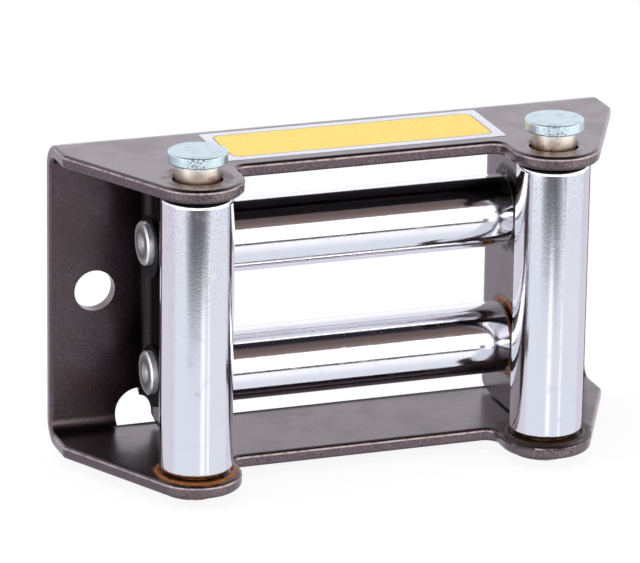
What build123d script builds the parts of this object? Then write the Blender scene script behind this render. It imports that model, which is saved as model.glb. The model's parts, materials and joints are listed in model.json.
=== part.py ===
# Roller guide for a winch rope: a bent sheet steel frame carries two upright
# rollers in front and two level rollers behind them, each on its own headed pin.
# Millimetres. X runs along the frame, Y points back to the mounting surface, Z up.
# The origin is the middle of the mounting face, halfway between the two bolt holes.
import os
from math import radians, sin

from build123d import *

# Frame sheet
bolt_spacing = 124.0
bolt_hole = 10.7
bolt_edge = 11.8
frame_height = 80.6
sheet = 3.5
bend_inner = 3.0
edge_round = 1.0

# Level pins and rollers, behind the upright ones
level_depth = 20.5
level_inset = 19.55
level_shank_step = 3.4
level_slack = 0.4
level_head_lap = 1.6
level_head = 1.8
level_head_chamfer = 0.4
level_dish_share = 0.5
level_dish = 0.5
level_play = 4.6
lower_pin_push = 1.15

# Tabs that carry the level pins
tab_inset = 30.2
tab_lap = 9.7
tab_end_gap = 0.6
tab_front_corner = 5.0
tab_rear_corner = 6.7

# Rope window with its round corner reliefs
window_back_depth = 5.2
relief_radius = 6.4

# Rollers
roller_dia = 18.5
roller_wall = 2.05
roller_round = 1.3
roller_gap = 2.3
end_float = 0.2

# Plain bushes, standing a little out of the roller ends
bush_wall = 1.5
bush_length = 12.0
bush_proud = 0.7
bush_chamfer = 0.3
bush_clearance = 0.06

# Upright pins
upright_inset = 26.6
upright_slack = 0.8
upright_head_lap = 1.4
upright_head = 2.8
upright_head_round = 0.4
upright_play = 4.1

# Flange outline
side_depth = 14.6
side_corner = 2.0
notch_step = 6.6
notch_corner = 3.0
ear_rim = 2.45

# Head washers on the level pins
washer_slack = 2.0
washer_rim = 3.0
washer_thick = 1.6
washer_fit = 0.05

# Retaining clips
seat_gap = 0.1
clip_thick = 1.0
clip_step = 1.0
clip_rim = 4.15
clip_web = 2.2
clip_lug_angle = 34.0
clip_mouth = 0.9
groove_extra = 0.1
pin_tail = 1.4
tail_chamfer = 0.7

# Heights and depths that follow from the sizes above
half_width = bolt_spacing / 2 + bolt_edge
bend_outer = bend_inner + sheet
flange_top = frame_height / 2
flange_inside = flange_top - sheet
tab_inner = half_width - tab_inset
tab_outer = tab_inner + sheet
tab_depth = level_depth + tab_lap
tab_half_height = flange_inside - tab_end_gap
relief_side = tab_outer + bend_inner
relief_height = flange_top - bend_outer
window_half_width = relief_side + relief_radius
upright_side = half_width - upright_inset
upright_depth = level_depth + roller_dia + roller_gap
roller_bore = roller_dia - 2 * roller_wall
upright_shank = roller_bore - 2 * bush_wall
upright_hole = upright_shank + upright_slack
level_height = flange_inside - level_inset
level_shank = upright_shank - level_shank_step
level_hole = level_shank + level_slack
ear_radius = roller_dia / 2 + ear_rim
notch_depth = upright_depth - notch_step
washer_bore = level_shank + washer_slack
cut_margin = 2.0


def mirrored_pair(shape, plane):
    """The shape together with its mirror image."""
    return shape + mirror(shape, about=plane)


def flange_outline():
    """Plan of both flanges: straight sides, tapers round to the ears, notch between the ears."""
    ear = Pos(upright_side, -upright_depth) * Circle(ear_radius)
    inner_side = upright_side - ear_radius
    side_width = half_width - inner_side
    root = Pos(inner_side + side_width / 2, -side_depth / 2) * Rectangle(side_width, side_depth)
    wing = make_hull((ear + root).edges())
    middle = Pos(0, -notch_depth / 2) * Rectangle(2 * inner_side + cut_margin, notch_depth)
    outline = mirrored_pair(wing, Plane.YZ) + middle
    notch_corners = outline.vertices().filter_by(
        lambda v: abs(abs(v.X) - inner_side) < 0.01 and abs(v.Y + notch_depth) < 0.01
    )
    outline = fillet(notch_corners, notch_corner)
    side_corners = outline.vertices().filter_by(
        lambda v: abs(abs(v.X) - half_width) < 0.01 and abs(v.Y + side_depth) < 0.01
    )
    return fillet(side_corners, side_corner)


def bent_channel():
    """Back plate with the upper and lower flanges bent forward, before any cut."""
    reach = upright_depth + ear_radius + cut_margin
    outer = Pos(0, -reach / 2, 0) * Box(2 * half_width, reach, frame_height)
    outer = fillet(outer.edges().filter_by(Axis.X).group_by(Axis.Y)[-1], bend_outer)
    inner = Pos(0, -reach / 2 - sheet, 0) * Box(2 * half_width + cut_margin, reach, 2 * flange_inside)
    inner = fillet(inner.edges().filter_by(Axis.X).group_by(Axis.Y)[-1], bend_inner)
    return outer - inner


def tab_plan():
    """Plan of the right tab: a quarter bend out of the back plate, then a straight leg."""
    bend_centre = Pos(relief_side, -bend_outer)
    ring = bend_centre * (Circle(bend_outer) - Circle(bend_inner))
    quarter = Pos(tab_inner + bend_outer / 2, -bend_outer / 2) * Rectangle(bend_outer, bend_outer)
    leg_length = tab_depth - bend_outer
    leg = Pos(tab_inner + sheet / 2, -bend_outer - leg_length / 2) * Rectangle(sheet, leg_length)
    return (ring & quarter) + leg


def tab_side():
    """Side view of a tab, with Y across and Z up."""
    face = Pos(-tab_depth / 2, 0) * Rectangle(tab_depth, 2 * tab_half_height)
    face = fillet(face.vertices().group_by(Axis.X)[0], tab_front_corner)
    relief_back = relief_radius - window_back_depth
    relief = Pos(relief_back, relief_height) * Circle(relief_radius)
    corner_rise = tab_half_height - relief_height
    slot_rise = corner_rise + cut_margin
    slot = Pos(0, relief_height + slot_rise / 2) * Rectangle(2 * window_back_depth, slot_rise)
    corner_block = Pos(-window_back_depth - tab_rear_corner / 2, relief_height + slot_rise / 2)
    corner_block = corner_block * Rectangle(tab_rear_corner, slot_rise)
    corner_curve = Pos(-window_back_depth - tab_rear_corner, relief_height)
    corner_curve = corner_curve * Ellipse(tab_rear_corner, corner_rise)
    cut = relief + slot + (corner_block - corner_curve)
    return face - mirrored_pair(cut, Plane.XZ)


def make_tab():
    """The right tab with its two pin holes."""
    plan = extrude(tab_plan(), tab_half_height, both=True)
    side = extrude(Plane.YZ * tab_side(), tab_outer + bend_outer)
    tab = plan & side
    hole = Rot(0, 90, 0) * Cylinder(level_hole / 2, 4 * tab_outer)
    for height in (level_height, -level_height):
        tab -= Pos(0, -level_depth, height) * hole
    return tab


def on_flange_outline(edge):
    """Whether an edge lies in a flange's upper or lower face, in front of the bend."""
    middle = edge @ 0.5
    flat = edge.bounding_box().size.Z < 0.001
    height = abs(middle.Z)
    level = min(abs(height - flange_top), abs(height - flange_inside)) < 0.01
    return flat and level and middle.Y < -bend_outer - 0.01


def make_frame():
    """The one-piece frame: channel, outline, window, reliefs, tabs and holes."""
    body = bent_channel() & extrude(flange_outline(), flange_top, both=True)
    window_depth = window_back_depth + cut_margin
    window_middle = Pos(0, -window_back_depth + window_depth / 2, 0)
    body -= window_middle * Box(2 * relief_side, window_depth, frame_height + cut_margin)
    slot_rise = flange_top + cut_margin - relief_height
    slot = Box(2 * window_half_width, window_depth, slot_rise)
    relief = Pos(relief_side, 0, relief_height) * Rot(90, 0, 0)
    relief = relief * Cylinder(relief_radius, 2 * window_back_depth)
    cuts = window_middle * Pos(0, 0, relief_height + slot_rise / 2) * slot
    cuts += mirrored_pair(relief, Plane.YZ)
    body -= mirrored_pair(cuts, Plane.XY)
    body = body + mirrored_pair(make_tab(), Plane.YZ)
    bolt_cut = Rot(90, 0, 0) * Cylinder(bolt_hole / 2, 4 * sheet)
    pin_cut = Cylinder(upright_hole / 2, frame_height + cut_margin)
    for side in (-1, 1):
        body -= Pos(side * bolt_spacing / 2, 0, 0) * bolt_cut
        body -= Pos(side * upright_side, -upright_depth, 0) * pin_cut
    return fillet(body.edges().filter_by(on_flange_outline), edge_round).solid()


def make_roller(length):
    """A roller tube standing on its axis, centred on its length."""
    tube = Cylinder(roller_dia / 2, length)
    tube = fillet(tube.edges(), roller_round)
    return tube - Cylinder(roller_bore / 2, length)


def make_bush(shank):
    """A plain bush standing on its outer end at zero."""
    body = Pos(0, 0, bush_length / 2) * Cylinder(roller_bore / 2, bush_length)
    body -= Cylinder(shank / 2 + bush_clearance, 4 * bush_length)
    inner_rims = body.edges().filter_by(GeomType.CIRCLE).group_by(SortBy.RADIUS)[0]
    return chamfer(inner_rims, bush_chamfer)


def make_shank(shank, grip):
    """A pin's shank hanging from its head's underside at zero, with the clip groove and tail."""
    length = grip + clip_thick + groove_extra + pin_tail
    body = Pos(0, 0, -length / 2) * Cylinder(shank / 2, length)
    body = chamfer(body.edges().group_by(Axis.Z)[0], tail_chamfer)
    ring = Cylinder(shank / 2 + cut_margin, clip_thick + groove_extra)
    ring -= Cylinder(shank / 2 - clip_step, clip_thick + groove_extra)
    return body - Pos(0, 0, -grip - (clip_thick + groove_extra) / 2) * ring


def make_upright_pin(grip):
    """An upright pin with its flat disc head."""
    head_radius = upright_hole / 2 + upright_head_lap
    head = Pos(0, 0, upright_head / 2) * Cylinder(head_radius, upright_head)
    head = fillet(head.edges(), upright_head_round)
    return (make_shank(upright_shank, grip) + head).solid()


def make_level_pin(grip):
    """A level pin, its head chamfered at the rim and shallowly dished in the middle."""
    head_radius = level_shank / 2 + level_head_lap
    head = Pos(0, 0, level_head / 2) * Cylinder(head_radius, level_head)
    head = chamfer(head.edges().group_by(Axis.Z)[-1], level_head_chamfer)
    dish_radius = level_dish_share * head_radius
    ball = (dish_radius**2 + level_dish**2) / (2 * level_dish)
    head -= Pos(0, 0, level_head - level_dish + ball) * Sphere(ball)
    return (make_shank(level_shank, grip) + head).solid()


def make_clip(shank):
    """An open retaining ring with three lugs in the groove, its upper face at zero."""
    groove = shank / 2 - clip_step
    outer = groove + clip_rim
    ring = Circle(outer) - Circle(outer - clip_web)
    lugs = Sketch()
    for angle in (90, 210, 330):
        turned = Rot(0, 0, angle) * Pos(outer / 2, 0)
        lugs += turned * Rectangle(outer, 2 * groove * sin(radians(clip_lug_angle)))
    lugs = lugs & Circle(outer - clip_web / 2)
    mouth = Pos(0, -outer) * Rectangle(2 * groove * clip_mouth, 2 * outer)
    face = ring + lugs - Circle(groove) - mouth
    return extrude(face, -clip_thick).solid()


def make_washer():
    """A plain flat washer with its outer face at zero, lying below it."""
    disc = Pos(0, 0, -washer_thick / 2) * Cylinder(washer_bore / 2 + washer_rim, washer_thick)
    return disc - Cylinder(washer_bore / 2, 4 * washer_thick)


def upright_pieces(side):
    """One upright roller with its bushes, pin and clip, at its place on the frame."""
    length = 2 * (flange_inside - end_float - bush_proud)
    bush = Pos(0, 0, -length / 2 - bush_proud) * make_bush(upright_shank)
    grip = frame_height + upright_play + seat_gap
    clip_face = -flange_top - seat_gap
    place = Pos(side * upright_side, -upright_depth, 0)
    return {
        "roller": place * make_roller(length),
        "lower_bush": place * bush,
        "upper_bush": place * mirror(bush, about=Plane.XY),
        "pin": place * Pos(0, 0, flange_top + upright_play) * make_upright_pin(grip),
        "clip": place * Pos(0, 0, clip_face - groove_extra / 2) * make_clip(upright_shank),
    }


def level_pieces(height, push):
    """One level roller with its bushes, pin, washer and clip, its pin pushed in by push."""
    length = 2 * (tab_inner - end_float - bush_proud)
    bush = Pos(0, 0, -length / 2 - bush_proud) * make_bush(level_shank)
    grip = 2 * tab_outer + washer_thick + level_play + seat_gap
    head_face = tab_outer + washer_thick + level_play
    clip_face = -tab_outer - seat_gap
    sag = (washer_bore - level_shank) / 2 - washer_fit
    to_place = Pos(0, -level_depth, height) * Rot(0, -90, 0)
    inward = Pos(0, 0, -push)
    hang = Pos(0, 0, -sag)
    return {
        "roller": to_place * make_roller(length),
        "right_bush": to_place * bush,
        "left_bush": to_place * mirror(bush, about=Plane.XY),
        "pin": to_place * inward * Pos(0, 0, head_face) * make_level_pin(grip),
        "washer": hang * to_place * inward * Pos(0, 0, head_face - washer_fit) * make_washer(),
        "clip": to_place * inward * Pos(0, 0, clip_face - groove_extra / 2) * make_clip(level_shank),
    }


def main():
    """Write each piece to its own file."""
    nodes = {"frame": make_frame()}
    for name, side in (("left", -1), ("right", 1)):
        for piece, shape in upright_pieces(side).items():
            nodes[f"{name}_{piece}"] = shape
    for name, height, push in (("upper", level_height, 0), ("lower", -level_height, lower_pin_push)):
        for piece, shape in level_pieces(height, push).items():
            nodes[f"{name}_{piece}"] = shape
    os.makedirs("parts", exist_ok=True)
    for name, shape in nodes.items():
        export_step(shape, f"parts/{name}.step")


main()
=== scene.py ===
"""Looks of the winch rope guide: finishes, blank sticker, grease beads, light, floor and camera."""
import json
from math import cos, pi, radians, sin, tan

import bmesh
import bpy
from mathutils import Matrix, Vector


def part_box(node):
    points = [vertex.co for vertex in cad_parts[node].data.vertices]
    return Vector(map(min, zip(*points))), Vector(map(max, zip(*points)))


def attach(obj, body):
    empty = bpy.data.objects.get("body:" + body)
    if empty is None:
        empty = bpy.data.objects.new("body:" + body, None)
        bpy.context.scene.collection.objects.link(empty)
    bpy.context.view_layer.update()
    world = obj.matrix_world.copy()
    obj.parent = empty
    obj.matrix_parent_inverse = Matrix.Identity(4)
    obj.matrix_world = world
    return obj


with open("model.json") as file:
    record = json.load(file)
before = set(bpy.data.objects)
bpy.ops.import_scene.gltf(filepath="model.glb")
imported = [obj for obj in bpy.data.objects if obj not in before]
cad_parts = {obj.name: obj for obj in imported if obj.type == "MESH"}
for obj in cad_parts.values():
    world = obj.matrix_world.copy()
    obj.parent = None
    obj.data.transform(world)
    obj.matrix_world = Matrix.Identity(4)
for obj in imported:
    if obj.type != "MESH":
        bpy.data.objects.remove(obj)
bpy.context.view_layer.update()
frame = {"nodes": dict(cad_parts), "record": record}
MM = 0.001

# Places on the guide, in metres
sheet = 3.5 * MM
end_float = 0.2 * MM
margin = 0.1 * MM
flange_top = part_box("frame")[1].z
flange_edge = 38.6 * MM
ear_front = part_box("frame")[0].y
bend_front = -6.5 * MM
lower_flange_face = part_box("left_lower_bush")[0].z - end_float
right_tab_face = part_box("lower_right_bush")[1].x + end_float
tab_outer_face = right_tab_face + sheet
pin_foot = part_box("left_pin")[0].z
roller_radius = (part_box("left_roller")[1].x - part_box("left_roller")[0].x) / 2
upright_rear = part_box("left_roller")[1].y + 0.5 * MM
left_axis = (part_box("left_pin")[0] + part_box("left_pin")[1]) / 2
right_axis = (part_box("right_pin")[0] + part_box("right_pin")[1]) / 2
upper_axis = (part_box("upper_roller")[0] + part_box("upper_roller")[1]) / 2
lower_axis = (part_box("lower_roller")[0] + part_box("lower_roller")[1]) / 2

# Struck spot on the rim of each upright pin's head, across from the pin's axis
struck_spot = Vector((-2.6 * MM, -7.2 * MM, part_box("left_pin")[1].z - 1.4 * MM))
struck_radius = 3.9 * MM

# Directions across and along an upright axis and a level one
UPRIGHT = {"Across": (1.0, 1.0, 0.0), "Along": (0.0, 0.0, 1.0)}
LEVEL = {"Across": (0.0, 1.0, 1.0), "Along": (1.0, 0.0, 0.0)}

# Camera fitted to the photograph
view_turn = radians(19.791)
view_height = radians(18.704)
view_roll = radians(0.873)
view_target = Vector((-7.142, -20.0, 2.323)) * MM
view_distance = 1319.7 * MM
focal_pixels = 5186.0
photo_width = 640
sensor_width = 36.0

# Sticker on the upper flange
sticker_low = Vector((-36.0, -31.0)) * MM
sticker_high = Vector((38.5, -7.8)) * MM
sticker_thick = 0.12 * MM
sticker_corner = 0.6 * MM
border_width = 2.3 * MM
border_line = 0.35 * MM
field_corner = 2.6 * MM

# Grease squeezed out at the roller ends
bead_reach = 0.35 * MM
bead_width = 1.4 * MM
bead_height = 0.5 * MM
bead_unevenness = 0.35 * MM

# Light
lamp_tint = (0.97, 0.98, 1.0)
lamp_place = (-0.2, -0.1, 1.3)
lamp_width = 1.0
lamp_power = 9.0
floor_half_width = 3.0
floor_shade = 0.12
floor_grey = 0.82
floor_light = 0.8

# Cards that only the metal shows
cards = {
    "dark_card": {
        "place": Vector((-205.0, -614.0, -116.0)) * MM,
        "width": 1290 * MM,
        "height": 200 * MM,
        "strength": 0.06,
        "tint": (0.34, 0.2, 0.38, 1.0),
        "cover": 0.86,
    },
    "pale_card": {
        "place": Vector((-36.0, -315.0, -118.0)) * MM,
        "width": 110 * MM,
        "height": 110 * MM,
        "strength": 1.25,
        "tint": (1.0, 1.0, 1.0, 1.0),
        "cover": 0.8,
    },
}


# Node helpers


def new_group(name, inputs, outputs):
    """An empty shader group whose sockets come from (type, name, default) lists."""
    group = bpy.data.node_groups.new(name, "ShaderNodeTree")
    for kind, label, default in inputs:
        socket = group.interface.new_socket(label, in_out="INPUT", socket_type=kind)
        if default is not None:
            socket.default_value = default
    for kind, label in outputs:
        group.interface.new_socket(label, in_out="OUTPUT", socket_type=kind)
    source = group.nodes.new("NodeGroupInput")
    target = group.nodes.new("NodeGroupOutput")
    return group, source, target


class Tree:
    """Short calls for adding and wiring nodes."""

    def __init__(self, tree):
        self.tree = tree

    def add(self, kind, values=None, **settings):
        """A new node, with each input wired to a socket or set to a value."""
        node = self.tree.nodes.new(kind)
        for key, value in settings.items():
            setattr(node, key, value)
        for key, value in (values or {}).items():
            if isinstance(value, bpy.types.NodeSocket):
                self.tree.links.new(value, node.inputs[key])
            else:
                node.inputs[key].default_value = value
        return node

    def link(self, source, target):
        self.tree.links.new(source, target)

    def math(self, operation, first, second=0.0, clamp=False):
        values = {0: first, 1: second}
        return self.add("ShaderNodeMath", values, operation=operation, use_clamp=clamp).outputs[0]

    def vector(self, operation, first, second):
        return self.add("ShaderNodeVectorMath", {0: first, 1: second}, operation=operation).outputs[0]

    def length(self, vector):
        return self.add("ShaderNodeVectorMath", {0: vector}, operation="LENGTH").outputs["Value"]

    def mix(self, factor, first, second):
        """A blend of two colours."""
        node = self.add("ShaderNodeMix", data_type="RGBA")
        for socket, value in zip((node.inputs[0], node.inputs[6], node.inputs[7]), (factor, first, second)):
            if isinstance(value, bpy.types.NodeSocket):
                self.link(value, socket)
            else:
                socket.default_value = value
        return node.outputs[2]

    def noise(self, vector, scale, detail=3.0, roughness=0.5):
        values = {"Vector": vector, "Scale": scale, "Detail": detail, "Roughness": roughness}
        return self.add("ShaderNodeTexNoise", values).outputs["Fac"]

    def spread(self, value, low, high, to_low=0.0, to_high=1.0):
        """A smooth step from one value to another as the input goes from low to high."""
        values = {"Value": value, "From Min": low, "From Max": high, "To Min": to_low, "To Max": to_high}
        return self.add("ShaderNodeMapRange", values, interpolation_type="SMOOTHSTEP").outputs["Result"]


def linear(value):
    """A screen value from 0 to 255 as an amount of light."""
    return ((value / 255 + 0.055) / 1.055) ** 2.4 if value > 10 else value / 255 / 12.92


def rgb(red, green, blue):
    """A colour from its 0 to 255 values as seen on a screen."""
    return (linear(red), linear(green), linear(blue), 1.0)


def new_material(name):
    """A material with its tree, its shader and the place on the piece."""
    material = bpy.data.materials.new(name)
    material.use_nodes = True
    material.node_tree.nodes.clear()
    tree = Tree(material.node_tree)
    shader = tree.add("ShaderNodeBsdfPrincipled")
    output = tree.add("ShaderNodeOutputMaterial")
    tree.link(shader.outputs[0], output.inputs[0])
    coords = tree.add("ShaderNodeTexCoord").outputs["Object"]
    return material, tree, shader, coords


# Shared effects


def grain_group():
    """Fine paint or plating grain as a mask and a bumped normal."""
    group, source, target = new_group(
        "Fine grain",
        [("NodeSocketVector", "Place", None), ("NodeSocketFloat", "Grain size", 0.5 * MM),
         ("NodeSocketFloat", "Depth", 0.02 * MM), ("NodeSocketFloat", "Strength", 0.5)],
        [("NodeSocketFloat", "Mask"), ("NodeSocketVector", "Normal")],
    )
    tree = Tree(group)
    scale = tree.math("DIVIDE", 1.0, source.outputs["Grain size"])
    grain = tree.noise(source.outputs["Place"], scale, 2.0, 0.6)
    bump = tree.add("ShaderNodeBump", {
        "Height": grain, "Distance": source.outputs["Depth"], "Strength": source.outputs["Strength"]})
    tree.link(grain, target.inputs["Mask"])
    tree.link(bump.outputs[0], target.inputs["Normal"])
    return group


def smudge_group():
    """Soft irregular patches such as handling marks and grease film."""
    group, source, target = new_group(
        "Smudges",
        [("NodeSocketVector", "Place", None), ("NodeSocketFloat", "Patch size", 8 * MM),
         ("NodeSocketFloat", "Threshold", 0.5), ("NodeSocketFloat", "Softness", 0.15)],
        [("NodeSocketFloat", "Mask")],
    )
    tree = Tree(group)
    scale = tree.math("DIVIDE", 1.0, source.outputs["Patch size"])
    patches = tree.noise(source.outputs["Place"], scale, 5.0, 0.62)
    low = tree.math("SUBTRACT", source.outputs["Threshold"], source.outputs["Softness"])
    high = tree.math("ADD", source.outputs["Threshold"], source.outputs["Softness"])
    tree.link(tree.spread(patches, low, high), target.inputs["Mask"])
    return group


def ring_group():
    """How near a point is to a circle round an axis, for grease and rub marks, painted shade and painted
    highlights.
    """
    group, source, target = new_group(
        "Ring round an axis",
        [("NodeSocketVector", "Place", None), ("NodeSocketVector", "Centre", None),
         ("NodeSocketVector", "Across", (1.0, 1.0, 0.0)), ("NodeSocketVector", "Along", (0.0, 0.0, 1.0)),
         ("NodeSocketFloat", "Radius", 10 * MM), ("NodeSocketFloat", "Width", 3 * MM),
         ("NodeSocketFloat", "Depth", 1.0 * MM)],
        [("NodeSocketFloat", "Mask")],
    )
    tree = Tree(group)
    offset = tree.vector("SUBTRACT", source.outputs["Place"], source.outputs["Centre"])
    reach = tree.length(tree.vector("MULTIPLY", offset, source.outputs["Across"]))
    off = tree.length(tree.vector("MULTIPLY", offset, source.outputs["Along"]))
    away = tree.math("ABSOLUTE", tree.math("SUBTRACT", reach, source.outputs["Radius"]))
    near = tree.math("SUBTRACT", 1.0, tree.math("DIVIDE", away, source.outputs["Width"]), clamp=True)
    face = tree.math("LESS_THAN", off, source.outputs["Depth"])
    tree.link(tree.math("MULTIPLY", near, face), target.inputs["Mask"])
    return group


def spot_group():
    """Soft round mask about one place."""
    group, source, target = new_group(
        "Soft spot",
        [("NodeSocketVector", "Place", None), ("NodeSocketVector", "Centre", None),
         ("NodeSocketFloat", "Radius", 2 * MM)],
        [("NodeSocketFloat", "Mask")],
    )
    tree = Tree(group)
    away = tree.length(tree.vector("SUBTRACT", source.outputs["Place"], source.outputs["Centre"]))
    share = tree.math("DIVIDE", away, source.outputs["Radius"])
    tree.link(tree.spread(share, 1.0, 0.4), target.inputs["Mask"])
    return group


GRAIN = grain_group()
SMUDGE = smudge_group()
RING = ring_group()
SPOT = spot_group()


def use(tree, group, values):
    """Places a shared effect in a material with that material's own values."""
    return tree.add("ShaderNodeGroup", values, node_tree=group)


# Materials


def flange_masks(tree, place):
    """Masks on the frame: cut edges, rubbed roundings that also carry a painted highlight, and painted shade
    on undersides, tab corners and the lower flange's top.
    """
    spot = tree.add("ShaderNodeSeparateXYZ", {0: place})
    facing = tree.add("ShaderNodeTexCoord").outputs["Normal"]
    tilt = tree.add("ShaderNodeSeparateXYZ", {0: facing}).outputs["Z"]
    height = tree.math("ABSOLUTE", spot.outputs["Z"])
    past_face = tree.math("GREATER_THAN", height, -lower_flange_face - margin)
    on_flange = tree.math("MULTIPLY", past_face, tree.math("LESS_THAN", spot.outputs["Y"], bend_front))
    cut = tree.math("MULTIPLY", tree.spread(tree.math("ABSOLUTE", tilt), 0.5, 0.15), on_flange)
    rounding = tree.math("MULTIPLY", tree.spread(tilt, 0.02, 0.2), tree.spread(tilt, 0.62, 0.42))
    # rubbed edge wear on the upper roundings, also standing in for a painted highlight along them
    worn = tree.math("MULTIPLY", rounding, on_flange)
    # painted shade: faces turned down, darkened almost to black
    underside_shade = tree.math("MULTIPLY", tree.spread(tilt, -0.4, -0.8), past_face)
    # painted shade on the side tabs and the plate just outside them, between the flanges
    beside = tree.math("ABSOLUTE", spot.outputs["X"])
    past_tab = tree.math("GREATER_THAN", beside, right_tab_face + margin)
    beyond = tree.spread(beside, tab_outer_face + 9 * MM, tab_outer_face + 3 * MM)
    near_tab = tree.math("MULTIPLY", past_tab, beyond)
    behind = tree.math("LESS_THAN", height, -lower_flange_face)
    corner = tree.math("MULTIPLY", near_tab, behind)
    # painted shade on the lower flange's top face
    low = tree.math("MULTIPLY", tree.math("LESS_THAN", spot.outputs["Z"], 0.0), tree.spread(tilt, 0.6, 0.95))
    return cut, worn, underside_shade, corner, low


def frame_paint():
    """Gunmetal coating with fine metallic grain, bright at rubbed edges that also carry a painted highlight,
    painted highlights on the ear fronts, painted shade on undersides, tab corners and the lower flange's top,
    stained round the roller ends with two dark rings that are partly painted shade.
    """
    material, tree, shader, place = new_material("gunmetal coating")
    grain = use(tree, GRAIN, {"Place": place, "Grain size": 0.3 * MM, "Depth": 0.02 * MM, "Strength": 0.3})
    smudge = use(tree, SMUDGE, {"Place": place, "Patch size": 12 * MM, "Threshold": 0.54, "Softness": 0.14})
    chips = use(tree, SMUDGE, {"Place": place, "Patch size": 2.2 * MM, "Threshold": 0.47, "Softness": 0.14})
    cut, worn, underside_shade, corner, low = flange_masks(tree, place)
    flecks = tree.spread(grain.outputs["Mask"], 0.38, 0.68)
    color = tree.mix(flecks, rgb(64, 48, 55), rgb(97, 79, 84))
    color = tree.mix(tree.math("MULTIPLY", smudge.outputs["Mask"], 0.4), color, rgb(70, 52, 46))
    cut_color = tree.mix(flecks, rgb(78, 64, 69), rgb(122, 105, 110))
    color = tree.mix(tree.math("MULTIPLY", cut, 0.9), color, cut_color)
    # painted highlight: pale flecked spots on the front faces of the four ears
    for axis in (left_axis, right_axis):
        for height in (-flange_edge, flange_edge):
            middle = (axis.x - 2 * MM, ear_front, height)
            front = use(tree, SPOT, {"Place": place, "Centre": middle, "Radius": 9 * MM})
            painted_ear_highlight = tree.math("MULTIPLY", tree.math("MULTIPLY", front.outputs["Mask"], cut), flecks)
            color = tree.mix(tree.math("MULTIPLY", painted_ear_highlight, 0.7), color, rgb(138, 122, 120))
    # painted shade: the lower flange's top face a little darker and bluer
    color = tree.mix(tree.math("MULTIPLY", low, 0.24), color, rgb(20, 20, 30))
    # edge wear that also serves as a painted highlight along the flanges' upper roundings
    wear_and_highlight = tree.math("MULTIPLY", worn, tree.spread(chips.outputs["Mask"], 0.0, 1.0, 0.3, 0.75))
    color = tree.mix(wear_and_highlight, color, rgb(184, 170, 168))
    # painted shade: undersides and tab corners darkened almost to black, with a duller coat
    painted_shade = tree.math("MAXIMUM", underside_shade, tree.math("MULTIPLY", corner, 0.75))
    color = tree.mix(painted_shade, color, rgb(20, 16, 17))
    mottle = use(tree, SMUDGE, {"Place": place, "Patch size": 3 * MM, "Threshold": 0.46, "Softness": 0.16})
    # Centre, directions, radius, width and colour of each stain; the right foot's wide ring and the upper
    # roller end's ring are partly painted shade
    stains = [
        ((left_axis.x, left_axis.y, lower_flange_face), UPRIGHT, 9.6 * MM, 2.3 * MM, rgb(134, 78, 30)),
        # partly painted shade: a wide dark ring beside the right tab, grease with shade painted in
        ((right_axis.x, right_axis.y, lower_flange_face), UPRIGHT, 9.4 * MM, 6.0 * MM, rgb(46, 34, 28)),
        ((right_tab_face, lower_axis.y, lower_axis.z), LEVEL, 9.6 * MM, 2.2 * MM, rgb(104, 62, 26)),
        # partly painted shade: dark ring on the tab round the upper roller's end, grease with contact shade
        # painted in
        ((right_tab_face, upper_axis.y, upper_axis.z), LEVEL, 9.4 * MM, 3.4 * MM, rgb(20, 14, 12)),
        ((left_axis.x, left_axis.y, flange_top), UPRIGHT, 6.4 * MM, 4.0 * MM, rgb(84, 60, 48)),
    ]
    # grease stains together with the two rings of painted shade
    grease_and_shade = 0.0
    for centre, directions, radius, width, stain in stains:
        band = {"Centre": centre, "Radius": radius, "Width": width}
        ring = use(tree, RING, {"Place": place, **band, **directions})
        mask = tree.math("MULTIPLY", ring.outputs["Mask"], mottle.outputs["Mask"])
        mask = tree.spread(mask, 0.05, 0.5)
        color = tree.mix(mask, color, stain)
        grease_and_shade = tree.math("MAXIMUM", mask, grease_and_shade)
    tree.link(color, shader.inputs["Base Color"])
    tree.link(tree.math("SUBTRACT", 1.0, tree.math("MULTIPLY", grease_and_shade, 0.6)), shader.inputs["Metallic"])
    # coat weakened under painted shade and in grease
    coat_cut_by_shade_and_grease = tree.math("MAXIMUM", painted_shade, tree.math("MAXIMUM", grease_and_shade, tree.math("MULTIPLY", low, 0.35)))
    tree.link(tree.spread(coat_cut_by_shade_and_grease, 0.0, 1.0, 1.0, 0.15), shader.inputs["Coat Weight"])
    shader.inputs["Coat Roughness"].default_value = 0.2
    tree.link(tree.spread(smudge.outputs["Mask"], 0.0, 1.0, 0.32, 0.42), shader.inputs["Roughness"])
    tree.link(grain.outputs["Normal"], shader.inputs["Normal"])
    return material


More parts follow.
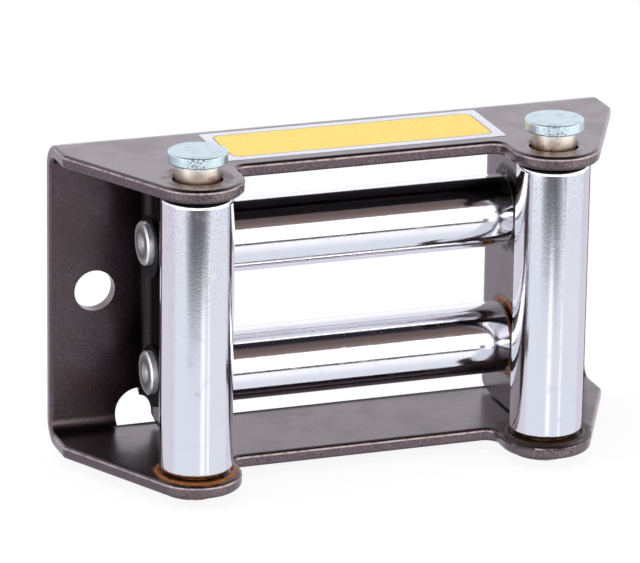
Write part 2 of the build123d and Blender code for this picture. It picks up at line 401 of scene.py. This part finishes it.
def chrome():
    """Bright chrome with a faint orange-peel skin, speckled near the upright tops, dusty on level rollers."""
    material, tree, shader, place = new_material("roller chrome")
    spot = tree.add("ShaderNodeSeparateXYZ", {0: place})
    upright = tree.math("LESS_THAN", spot.outputs["Y"], upright_rear)
    rougher = tree.math("MULTIPLY", upright, tree.spread(spot.outputs["Z"], 0.0, 30 * MM))
    peel = use(tree, GRAIN, {"Place": place, "Grain size": 0.45 * MM, "Depth": 0.02 * MM, "Strength": 0.4})
    smudge = use(tree, SMUDGE, {"Place": place, "Patch size": 5 * MM, "Threshold": 0.62, "Softness": 0.1})
    pits = use(tree, SMUDGE, {"Place": place, "Patch size": 1.1 * MM, "Threshold": 0.74, "Softness": 0.03})
    dots = use(tree, SMUDGE, {"Place": place, "Patch size": 0.7 * MM, "Threshold": 0.56, "Softness": 0.06})
    dust = use(tree, SMUDGE, {"Place": place, "Patch size": 0.8 * MM, "Threshold": 0.71, "Softness": 0.03})
    specks = tree.math("MULTIPLY", dust.outputs["Mask"], tree.math("SUBTRACT", 1.0, upright))
    film = tree.math("MULTIPLY", smudge.outputs["Mask"], 0.25)
    color = tree.mix(film, rgb(240, 240, 244), rgb(212, 212, 218))
    color = tree.mix(tree.math("MULTIPLY", pits.outputs["Mask"], 0.5), color, rgb(120, 118, 122))
    speckle = tree.math("MULTIPLY", tree.math("MULTIPLY", rougher, dots.outputs["Mask"]), 0.2)
    color = tree.mix(speckle, color, rgb(150, 136, 156))
    color = tree.mix(specks, color, rgb(226, 220, 214))
    tree.link(color, shader.inputs["Base Color"])
    tree.link(tree.spread(specks, 0.0, 1.0, 1.0, 0.4), shader.inputs["Metallic"])
    tree.link(tree.spread(smudge.outputs["Mask"], 0.0, 1.0, 0.08, 0.17), shader.inputs["Roughness"])
    tree.link(peel.outputs["Normal"], shader.inputs["Normal"])
    return material


def pin_plating():
    """Pale zinc of the upright pins, crinkled where the rim was struck, brown where it sits in grease."""
    material, tree, shader, place = new_material("pale zinc plating")
    fine = tree.noise(place, 1 / (0.5 * MM), 2.0)
    smudge = use(tree, SMUDGE, {"Place": place, "Patch size": 2.5 * MM, "Threshold": 0.56, "Softness": 0.1})
    height = tree.add("ShaderNodeSeparateXYZ", {0: place}).outputs["Z"]
    shank = tree.spread(height, flange_top + 4.2 * MM, flange_top + 3.6 * MM)
    foot = tree.spread(height, flange_top + 3.4 * MM, flange_top)
    struck = 0.0
    for axis in (left_axis, right_axis):
        centre = Vector((axis.x, axis.y, 0.0)) + struck_spot
        spot = use(tree, SPOT, {"Place": place, "Centre": centre, "Radius": struck_radius})
        struck = tree.math("ADD", spot.outputs["Mask"], struck)
    film = tree.math("MULTIPLY", smudge.outputs["Mask"], 0.3)
    color = tree.mix(film, rgb(205, 224, 228), rgb(186, 204, 210))
    color = tree.mix(shank, color, rgb(236, 230, 220))
    crinkle = tree.math("MULTIPLY", struck, tree.spread(fine, 0.46, 0.66))
    color = tree.mix(crinkle, color, rgb(128, 128, 156))
    stain = tree.math("MULTIPLY", foot, tree.spread(smudge.outputs["Mask"], 0.0, 1.0, 0.5, 1.0))
    color = tree.mix(stain, color, rgb(150, 108, 76))
    tree.link(color, shader.inputs["Base Color"])
    shader.inputs["Metallic"].default_value = 1.0
    tree.link(tree.spread(smudge.outputs["Mask"], 0.0, 1.0, 0.32, 0.44), shader.inputs["Roughness"])
    strength = tree.math("ADD", 0.05, tree.math("MULTIPLY", struck, 0.94))
    bump = tree.add("ShaderNodeBump", {"Height": fine, "Distance": 0.3 * MM, "Strength": strength})
    tree.link(bump.outputs[0], shader.inputs["Normal"])
    return material


def level_pin_plating():
    """Smooth grey plating of the level pins, darker round the dished heads, with a painted highlight in their
    middles.
    """
    material, tree, shader, place = new_material("grey pin plating")
    grain = use(tree, GRAIN, {"Place": place, "Grain size": 0.6 * MM, "Depth": 0.02 * MM, "Strength": 0.12})
    smudge = use(tree, SMUDGE, {"Place": place, "Patch size": 2.2 * MM, "Threshold": 0.55, "Softness": 0.12})
    film = tree.math("MULTIPLY", smudge.outputs["Mask"], 0.4)
    color = tree.mix(film, rgb(246, 247, 250), rgb(214, 212, 216))
    whole_pin = 80 * MM
    painted_head_highlight = 0.0
    for axis in (upper_axis, lower_axis):
        about_axis = {"Place": place, "Centre": axis, "Depth": whole_pin, **LEVEL}
        dish = use(tree, RING, {"Radius": 3.3 * MM, "Width": 1.8 * MM, **about_axis})
        color = tree.mix(tree.math("MULTIPLY", dish.outputs["Mask"], 0.8), color, rgb(112, 110, 114))
        # painted highlight: a pale, nearly non-metallic spot in the middle of each head
        middle = use(tree, RING, {"Radius": 0.0, "Width": 1.7 * MM, **about_axis})
        painted_head_highlight = tree.math("ADD", middle.outputs["Mask"], painted_head_highlight)
    color = tree.mix(painted_head_highlight, color, rgb(236, 244, 250))
    tree.link(color, shader.inputs["Base Color"])
    tree.link(tree.spread(painted_head_highlight, 0.0, 1.0, 0.75, 0.05), shader.inputs["Metallic"])
    tree.link(tree.spread(smudge.outputs["Mask"], 0.0, 1.0, 0.3, 0.38), shader.inputs["Roughness"])
    tree.link(grain.outputs["Normal"], shader.inputs["Normal"])
    return material


def grease(name, fresh, old):
    """Thick grease, mottled from fresh to old."""
    material, tree, shader, place = new_material(name)
    mottle = use(tree, SMUDGE, {"Place": place, "Patch size": 1.8 * MM, "Threshold": 0.5, "Softness": 0.14})
    lumps = use(tree, GRAIN, {"Place": place, "Grain size": 0.6 * MM, "Depth": 0.1 * MM, "Strength": 0.6})
    tree.link(tree.mix(mottle.outputs["Mask"], fresh, old), shader.inputs["Base Color"])
    tree.link(tree.spread(mottle.outputs["Mask"], 0.0, 1.0, 0.35, 0.55), shader.inputs["Roughness"])
    tree.link(lumps.outputs["Normal"], shader.inputs["Normal"])
    return material


def bronze():
    """Greased bronze of the bushes."""
    material, tree, shader, place = new_material("greased bronze")
    grain = use(tree, GRAIN, {"Place": place, "Grain size": 0.8 * MM, "Depth": 0.05 * MM, "Strength": 0.5})
    smudge = use(tree, SMUDGE, {"Place": place, "Patch size": 4 * MM, "Threshold": 0.5, "Softness": 0.12})
    color = tree.mix(smudge.outputs["Mask"], rgb(150, 92, 38), rgb(58, 36, 22))
    tree.link(color, shader.inputs["Base Color"])
    shader.inputs["Metallic"].default_value = 0.5
    tree.link(tree.spread(grain.outputs["Mask"], 0.3, 0.7, 0.3, 0.55), shader.inputs["Roughness"])
    tree.link(grain.outputs["Normal"], shader.inputs["Normal"])
    return material


def dark_steel(name, base, worn, rough_low, rough_high):
    """Oiled or blackened steel."""
    material, tree, shader, place = new_material(name)
    grain = use(tree, GRAIN, {"Place": place, "Grain size": 0.4 * MM, "Depth": 0.03 * MM, "Strength": 0.4})
    smudge = use(tree, SMUDGE, {"Place": place, "Patch size": 2.5 * MM, "Threshold": 0.6, "Softness": 0.1})
    tree.link(tree.mix(smudge.outputs["Mask"], base, worn), shader.inputs["Base Color"])
    shader.inputs["Metallic"].default_value = 0.7
    tree.link(tree.spread(grain.outputs["Mask"], 0.3, 0.7, rough_low, rough_high), shader.inputs["Roughness"])
    tree.link(grain.outputs["Normal"], shader.inputs["Normal"])
    return material


def printed_film(name, base, faded):
    """Glossy printed sticker film, faintly uneven."""
    material, tree, shader, place = new_material(name)
    grain = use(tree, GRAIN, {"Place": place, "Grain size": 2.5 * MM, "Depth": 0.01 * MM, "Strength": 0.15})
    smudge = use(tree, SMUDGE, {"Place": place, "Patch size": 9 * MM, "Threshold": 0.55, "Softness": 0.2})
    uneven = tree.math("MULTIPLY", smudge.outputs["Mask"], 0.5)
    tree.link(tree.mix(uneven, base, faded), shader.inputs["Base Color"])
    tree.link(tree.spread(grain.outputs["Mask"], 0.3, 0.7, 0.25, 0.36), shader.inputs["Roughness"])
    tree.link(grain.outputs["Normal"], shader.inputs["Normal"])
    return material


def dress_nodes():
    """Gives every CAD piece its finish."""
    finishes = {
        "frame_steel": frame_paint(),
        "chromed_steel": chrome(),
        "plated_steel": pin_plating(),
        "bronze": bronze(),
        "spring_steel": dark_steel("oiled clip steel", rgb(96, 96, 100), rgb(60, 56, 52), 0.3, 0.45),
        "black_steel": dark_steel("blackened washer", rgb(8, 7, 7), rgb(16, 13, 12), 0.5, 0.7),
    }
    for part in frame["record"]["subparts"]:
        piece = frame["nodes"][part["node"]]
        piece.data.materials.clear()
        piece.data.materials.append(finishes[part["material_slot"]])
    smooth = level_pin_plating()
    for name in ("upper_pin", "lower_pin"):
        frame["nodes"][name].data.materials[0] = smooth


# Sticker


def rounded_loop(low, high, corner, steps=6):
    """Corner points of a rounded rectangle, counter-clockwise from the lower left."""
    centres = [
        (Vector((low.x + corner, low.y + corner)), pi),
        (Vector((high.x - corner, low.y + corner)), 1.5 * pi),
        (Vector((high.x - corner, high.y - corner)), 0.0),
        (Vector((low.x + corner, high.y - corner)), 0.5 * pi),
    ]
    points = []
    for centre, start in centres:
        for step in range(steps + 1):
            angle = start + 0.5 * pi * step / steps
            points.append(centre + corner * Vector((cos(angle), sin(angle))))
    return points


def make_sticker():
    """Blank sticker: white border, thin grey line and plain yellow field."""
    inset = Vector((border_width, border_width))
    line = Vector((border_line, border_line))
    top = flange_top + sticker_thick
    rings = [
        (sticker_low, sticker_high, sticker_corner, flange_top),
        (sticker_low, sticker_high, sticker_corner, top),
        (sticker_low + inset, sticker_high - inset, field_corner, top),
        (sticker_low + inset + line, sticker_high - inset - line, field_corner - border_line, top),
    ]
    mesh = bmesh.new()
    loops = []
    for low, high, corner, height in rings:
        loops.append([mesh.verts.new((p.x, p.y, height)) for p in rounded_loop(low, high, corner)])
    border, printed_line, field = 0, 1, 2
    for outer, inner, film in zip(loops, loops[1:], (border, border, printed_line)):
        for i in range(len(outer)):
            j = (i + 1) % len(outer)
            face = mesh.faces.new((outer[i], outer[j], inner[j], inner[i]))
            face.material_index = film
    mesh.faces.new(loops[-1]).material_index = field
    data = bpy.data.meshes.new("flange_sticker")
    mesh.to_mesh(data)
    mesh.free()
    piece = bpy.data.objects.new("flange_sticker", data)
    bpy.context.collection.objects.link(piece)
    data.materials.append(printed_film("sticker border", rgb(226, 228, 238), rgb(208, 210, 222)))
    data.materials.append(printed_film("sticker line", rgb(112, 110, 108), rgb(130, 126, 120)))
    data.materials.append(printed_film("sticker field", rgb(250, 216, 62), rgb(244, 208, 66)))
    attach(piece, "frame")


# Grease beads


def bead_tree():
    """Geometry tree for an uneven bead of grease laid round a circle."""
    group = bpy.data.node_groups.new("Grease bead", "GeometryNodeTree")
    sockets = [
        ("NodeSocketGeometry", "Geometry"), ("NodeSocketFloat", "Ring radius"), ("NodeSocketFloat", "Width"),
        ("NodeSocketFloat", "Height"), ("NodeSocketFloat", "Unevenness"), ("NodeSocketFloat", "Lump size"),
        ("NodeSocketVector", "Place"), ("NodeSocketRotation", "Turn"), ("NodeSocketMaterial", "Finish"),
    ]
    for kind, label in sockets:
        group.interface.new_socket(label, in_out="INPUT", socket_type=kind)
    group.interface.new_socket("Geometry", in_out="OUTPUT", socket_type="NodeSocketGeometry")
    tree = Tree(group)
    source = tree.add("NodeGroupInput")
    ring = tree.add("GeometryNodeCurvePrimitiveCircle", {
        "Resolution": 144, "Radius": source.outputs["Ring radius"]})
    half = tree.math("MULTIPLY", source.outputs["Width"], 0.5)
    section = tree.add("GeometryNodeCurvePrimitiveCircle", {"Resolution": 12, "Radius": half})
    tube = tree.add("GeometryNodeCurveToMesh", {
        "Curve": ring.outputs["Curve"], "Profile Curve": section.outputs["Curve"]})
    here = tree.add("GeometryNodeInputPosition").outputs[0]
    lumps = tree.noise(here, tree.math("DIVIDE", 1.0, source.outputs["Lump size"]), 2.0)
    push = tree.math("MULTIPLY", tree.math("SUBTRACT", lumps, 0.5), source.outputs["Unevenness"])
    outward = tree.add("GeometryNodeInputNormal").outputs[0]
    offset = tree.add("ShaderNodeVectorMath", {0: outward, 3: push}, operation="SCALE").outputs[0]
    uneven = tree.add("GeometryNodeSetPosition", {"Geometry": tube.outputs[0], "Offset": offset})
    squeeze = tree.math("DIVIDE", source.outputs["Height"], source.outputs["Width"])
    scale = tree.add("ShaderNodeCombineXYZ", {0: 1.0, 1: 1.0, 2: squeeze}).outputs[0]
    flat = tree.add("GeometryNodeTransform", {"Geometry": uneven.outputs[0], "Scale": scale})
    lie = {"Translation": source.outputs["Place"], "Rotation": source.outputs["Turn"]}
    placed = tree.add("GeometryNodeTransform", {"Geometry": flat.outputs[0], **lie})
    smooth = tree.add("GeometryNodeSetShadeSmooth", {"Geometry": placed.outputs[0]})
    whole = tree.add("GeometryNodeRealizeInstances", {"Geometry": smooth.outputs[0]})
    dressed = tree.add("GeometryNodeSetMaterial", {
        "Geometry": whole.outputs[0], "Material": source.outputs["Finish"]})
    target = tree.add("NodeGroupOutput")
    tree.link(dressed.outputs[0], target.inputs["Geometry"])
    return group


def lay_bead(group, name, place, turn, finish, lump_size):
    """Makes one bead as a plain mesh on the frame."""
    values = {"Ring radius": roller_radius + bead_reach, "Width": bead_width, "Height": bead_height,
              "Unevenness": bead_unevenness, "Lump size": lump_size, "Place": place, "Turn": turn,
              "Finish": finish}
    holder = bpy.data.objects.new(name + "_tree", bpy.data.meshes.new(name + "_tree"))
    bpy.context.collection.objects.link(holder)
    modifier = holder.modifiers.new("bead", "NODES")
    modifier.node_group = group
    for item in group.interface.items_tree:
        if item.in_out == "INPUT" and item.name in values:
            modifier[item.identifier] = values[item.name]
    evaluated = holder.evaluated_get(bpy.context.evaluated_depsgraph_get())
    data = bpy.data.meshes.new_from_object(evaluated)
    bpy.data.objects.remove(holder)
    mesh = bmesh.new()
    mesh.from_mesh(data)
    bmesh.ops.recalc_face_normals(mesh, faces=mesh.faces)
    mesh.to_mesh(data)
    mesh.free()
    data.name = name
    piece = bpy.data.objects.new(name, data)
    bpy.context.collection.objects.link(piece)
    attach(piece, "frame")


def make_grease():
    """Beads of grease at the two roller feet and at the right ends of the level rollers."""
    group = bead_tree()
    fresh = grease("orange grease", rgb(160, 94, 36), rgb(128, 74, 30))
    old = grease("dark grease", rgb(64, 42, 26), rgb(24, 18, 16))
    flat = (0.0, 0.0, 0.0)
    on_side = (0.0, 0.5 * pi, 0.0)
    left_foot = (left_axis.x, left_axis.y, lower_flange_face)
    right_foot = (right_axis.x, right_axis.y, lower_flange_face)
    lower_end = (right_tab_face, lower_axis.y, lower_axis.z)
    upper_end = (right_tab_face, upper_axis.y, upper_axis.z)
    lay_bead(group, "left_foot_grease", left_foot, flat, fresh, 2.5 * MM)
    lay_bead(group, "right_foot_grease", right_foot, flat, old, 2.0 * MM)
    lay_bead(group, "lower_roller_grease", lower_end, on_side, fresh, 2.2 * MM)
    lay_bead(group, "upper_roller_grease", upper_end, on_side, old, 2.8 * MM)


# Light, floor and camera


def make_lamp():
    """Soft square lamp overhead that lights the guide without showing in the chrome."""
    lamp = bpy.data.lights.new("overhead lamp", "AREA")
    lamp.shape = "RECTANGLE"
    lamp.size = lamp_width
    lamp.size_y = lamp_width
    lamp.energy = lamp_power
    lamp.color = lamp_tint
    holder = bpy.data.objects.new("overhead lamp", lamp)
    holder.location = lamp_place
    holder.rotation_euler = (-Vector(lamp_place)).to_track_quat("-Z", "Y").to_euler()
    holder.visible_glossy = False
    bpy.context.collection.objects.link(holder)


def flat_stage(name, corners):
    """A one-face stage piece and the tree of its new material."""
    data = bpy.data.meshes.new(name)
    data.from_pydata([tuple(corner) for corner in corners], [], [(0, 1, 2, 3)])
    piece = bpy.data.objects.new(name, data)
    bpy.context.collection.objects.link(piece)
    material = bpy.data.materials.new(name)
    material.use_nodes = True
    material.node_tree.nodes.clear()
    data.materials.append(material)
    return piece, Tree(material.node_tree)


def make_floor():
    """Pale floor, near white to the camera, with a faint shadow; the chrome doesn't show it."""
    wide = floor_half_width
    corners = [(x, y, pin_foot) for x, y in ((-wide, -wide), (wide, -wide), (wide, wide), (-wide, wide))]
    floor, tree = flat_stage("floor", corners)
    floor.visible_glossy = False
    seen = tree.add("ShaderNodeLightPath").outputs["Is Camera Ray"]
    shade = tree.spread(seen, 0.0, 1.0, floor_grey, floor_shade)
    lift = tree.math("MULTIPLY", seen, 1.0 - floor_light * floor_shade)
    color = tree.add("ShaderNodeCombineColor", {0: shade, 1: shade, 2: shade}).outputs[0]
    diffuse = tree.add("ShaderNodeBsdfDiffuse", {"Color": color})
    glow = tree.add("ShaderNodeEmission", {"Color": (1.0, 1.0, 1.0, 1.0), "Strength": lift})
    both = tree.add("ShaderNodeAddShader", {0: diffuse.outputs[0], 1: glow.outputs[0]})
    output = tree.add("ShaderNodeOutputMaterial")
    tree.link(both.outputs[0], output.inputs[0])


def make_card(name, place, width, height, strength, tint, cover):
    """Soft-edged card low in front that only the metal shows, as a streak down the upright rollers."""
    facing = Vector((-place.x, -place.y, 0.0)).normalized()
    side = Vector((-facing.y, facing.x, 0.0)) * width / 2
    up = Vector((0.0, 0.0, height / 2))
    corners = [place - side - up, place + side - up, place + side + up, place - side + up]
    card, tree = flat_stage(name, corners)
    card.visible_camera = False
    card.visible_diffuse = False
    card.visible_shadow = False
    spot = tree.add("ShaderNodeTexCoord").outputs["Object"]
    offset = tree.vector("SUBTRACT", spot, place)
    across = tree.add("ShaderNodeVectorMath", {0: offset, 1: side.normalized()}, operation="DOT_PRODUCT")
    away = tree.math("ABSOLUTE", across.outputs["Value"])
    bow = tree.math("MULTIPLY", tree.math("MULTIPLY", away, away), tan(view_height) / 2 / place.xy.length)
    lift = tree.add("ShaderNodeSeparateXYZ", {0: offset}).outputs["Z"]
    rise = tree.math("ABSOLUTE", tree.math("ADD", lift, bow))
    sides = tree.spread(away, width / 2, width / 12)
    ends = tree.spread(rise, height / 2, height / 4)
    share = tree.math("MULTIPLY", tree.math("MULTIPLY", sides, ends), cover)
    clear = tree.add("ShaderNodeBsdfTransparent")
    glow = tree.add("ShaderNodeEmission", {"Color": tint, "Strength": strength})
    mixed = tree.add("ShaderNodeMixShader", {0: share, 1: clear.outputs[0], 2: glow.outputs[0]})
    output = tree.add("ShaderNodeOutputMaterial")
    tree.link(mixed.outputs[0], output.inputs[0])


def slope(degrees):
    """How far a direction rises for its length, that many degrees above level."""
    return sin(radians(degrees))


def make_world():
    """Pale room: white front over a soft dark line, brown above it, dark ceiling, bright wall behind."""
    floor = (0.8, 0.83, 0.91, 1.0)
    near_floor = (1.12, 1.12, 1.16, 1.0)
    white = (1.9, 1.85, 1.85, 1.0)
    dark_line = (0.03, 0.02, 0.03, 1.0)
    low_brown = (0.27, 0.2, 0.19, 1.0)
    high_brown = (0.15, 0.11, 0.105, 1.0)
    ceiling = (0.02, 0.02, 0.03, 1.0)
    low_wall = (0.73, 0.7, 0.78, 1.0)
    wall = (1.12, 1.09, 1.17, 1.0)
    high_wall = (0.86, 0.88, 0.93, 1.0)
    line_aside, line_ends = 0.32, (0.08, 0.04)
    line_height, line_edges = slope(-14.6), (0.075, 0.025)
    near_rise = (-0.8, -0.4)
    side_walls = (-0.15, 0.15)
    world = bpy.data.worlds.new("room")
    bpy.context.scene.world = world
    world.use_nodes = True
    world.node_tree.nodes.clear()
    tree = Tree(world.node_tree)
    way = tree.add("ShaderNodeTexCoord").outputs["Generated"]
    split = tree.add("ShaderNodeSeparateXYZ", {0: way})
    rise, back = split.outputs["Z"], split.outputs["Y"]
    aside = tree.math("ABSOLUTE", tree.math("SUBTRACT", split.outputs["X"], line_aside))
    right = tree.spread(aside, *line_ends)
    near = tree.mix(tree.math("MULTIPLY", tree.spread(rise, *near_rise), right), floor, near_floor)
    front = tree.mix(tree.spread(rise, slope(-16.5), slope(-15.5)), near, white)
    line = tree.spread(tree.math("ABSOLUTE", tree.math("SUBTRACT", rise, line_height)), *line_edges)
    front = tree.mix(tree.math("MULTIPLY", line, right), front, dark_line)
    brown = tree.mix(tree.spread(rise, slope(30), slope(52)), low_brown, high_brown)
    front = tree.mix(tree.spread(rise, slope(29), slope(32)), front, brown)
    front = tree.mix(tree.spread(rise, slope(54), slope(63)), front, ceiling)
    behind = tree.mix(tree.spread(rise, slope(-12), slope(4)), low_wall, wall)
    behind = tree.mix(tree.spread(rise, slope(25), slope(40)), behind, high_wall)
    behind = tree.mix(tree.spread(rise, slope(50), slope(60)), behind, ceiling)
    room = tree.mix(tree.spread(back, *side_walls), front, behind)
    seen = tree.add("ShaderNodeLightPath").outputs["Is Camera Ray"]
    glow = tree.add("ShaderNodeBackground", {"Color": room, "Strength": 1.0})
    plain = tree.add("ShaderNodeBackground", {"Color": (1.0, 1.0, 1.0, 1.0), "Strength": 1.0})
    mixed = tree.add("ShaderNodeMixShader", {0: seen, 1: glow.outputs[0], 2: plain.outputs[0]})
    output = tree.add("ShaderNodeOutputWorld")
    tree.link(mixed.outputs[0], output.inputs[0])


def make_camera():
    """Camera at the photograph's angle and distance."""
    back = Vector((-sin(view_turn) * cos(view_height), -cos(view_turn) * cos(view_height), sin(view_height)))
    level_right = Vector((cos(view_turn), -sin(view_turn), 0.0))
    level_up = back.cross(level_right)
    right = cos(view_roll) * level_right + sin(view_roll) * level_up
    up = -sin(view_roll) * level_right + cos(view_roll) * level_up
    data = bpy.data.cameras.new("camera")
    data.sensor_width = sensor_width
    data.lens = focal_pixels / photo_width * sensor_width
    data.clip_start = 0.05
    data.clip_end = 50.0
    camera = bpy.data.objects.new("camera", data)
    camera.rotation_mode = "QUATERNION"
    camera.rotation_quaternion = Matrix((right, up, back)).transposed().to_quaternion()
    camera.location = view_target + back * view_distance
    bpy.context.collection.objects.link(camera)
    bpy.context.scene.camera = camera


def main():
    """Dresses the guide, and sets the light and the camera."""
    bpy.context.scene.view_settings.view_transform = "Standard"
    make_camera()
    dress_nodes()
    make_sticker()
    make_grease()
    make_floor()
    for name, values in cards.items():
        make_card(name, **values)
    make_world()
    make_lamp()


main()
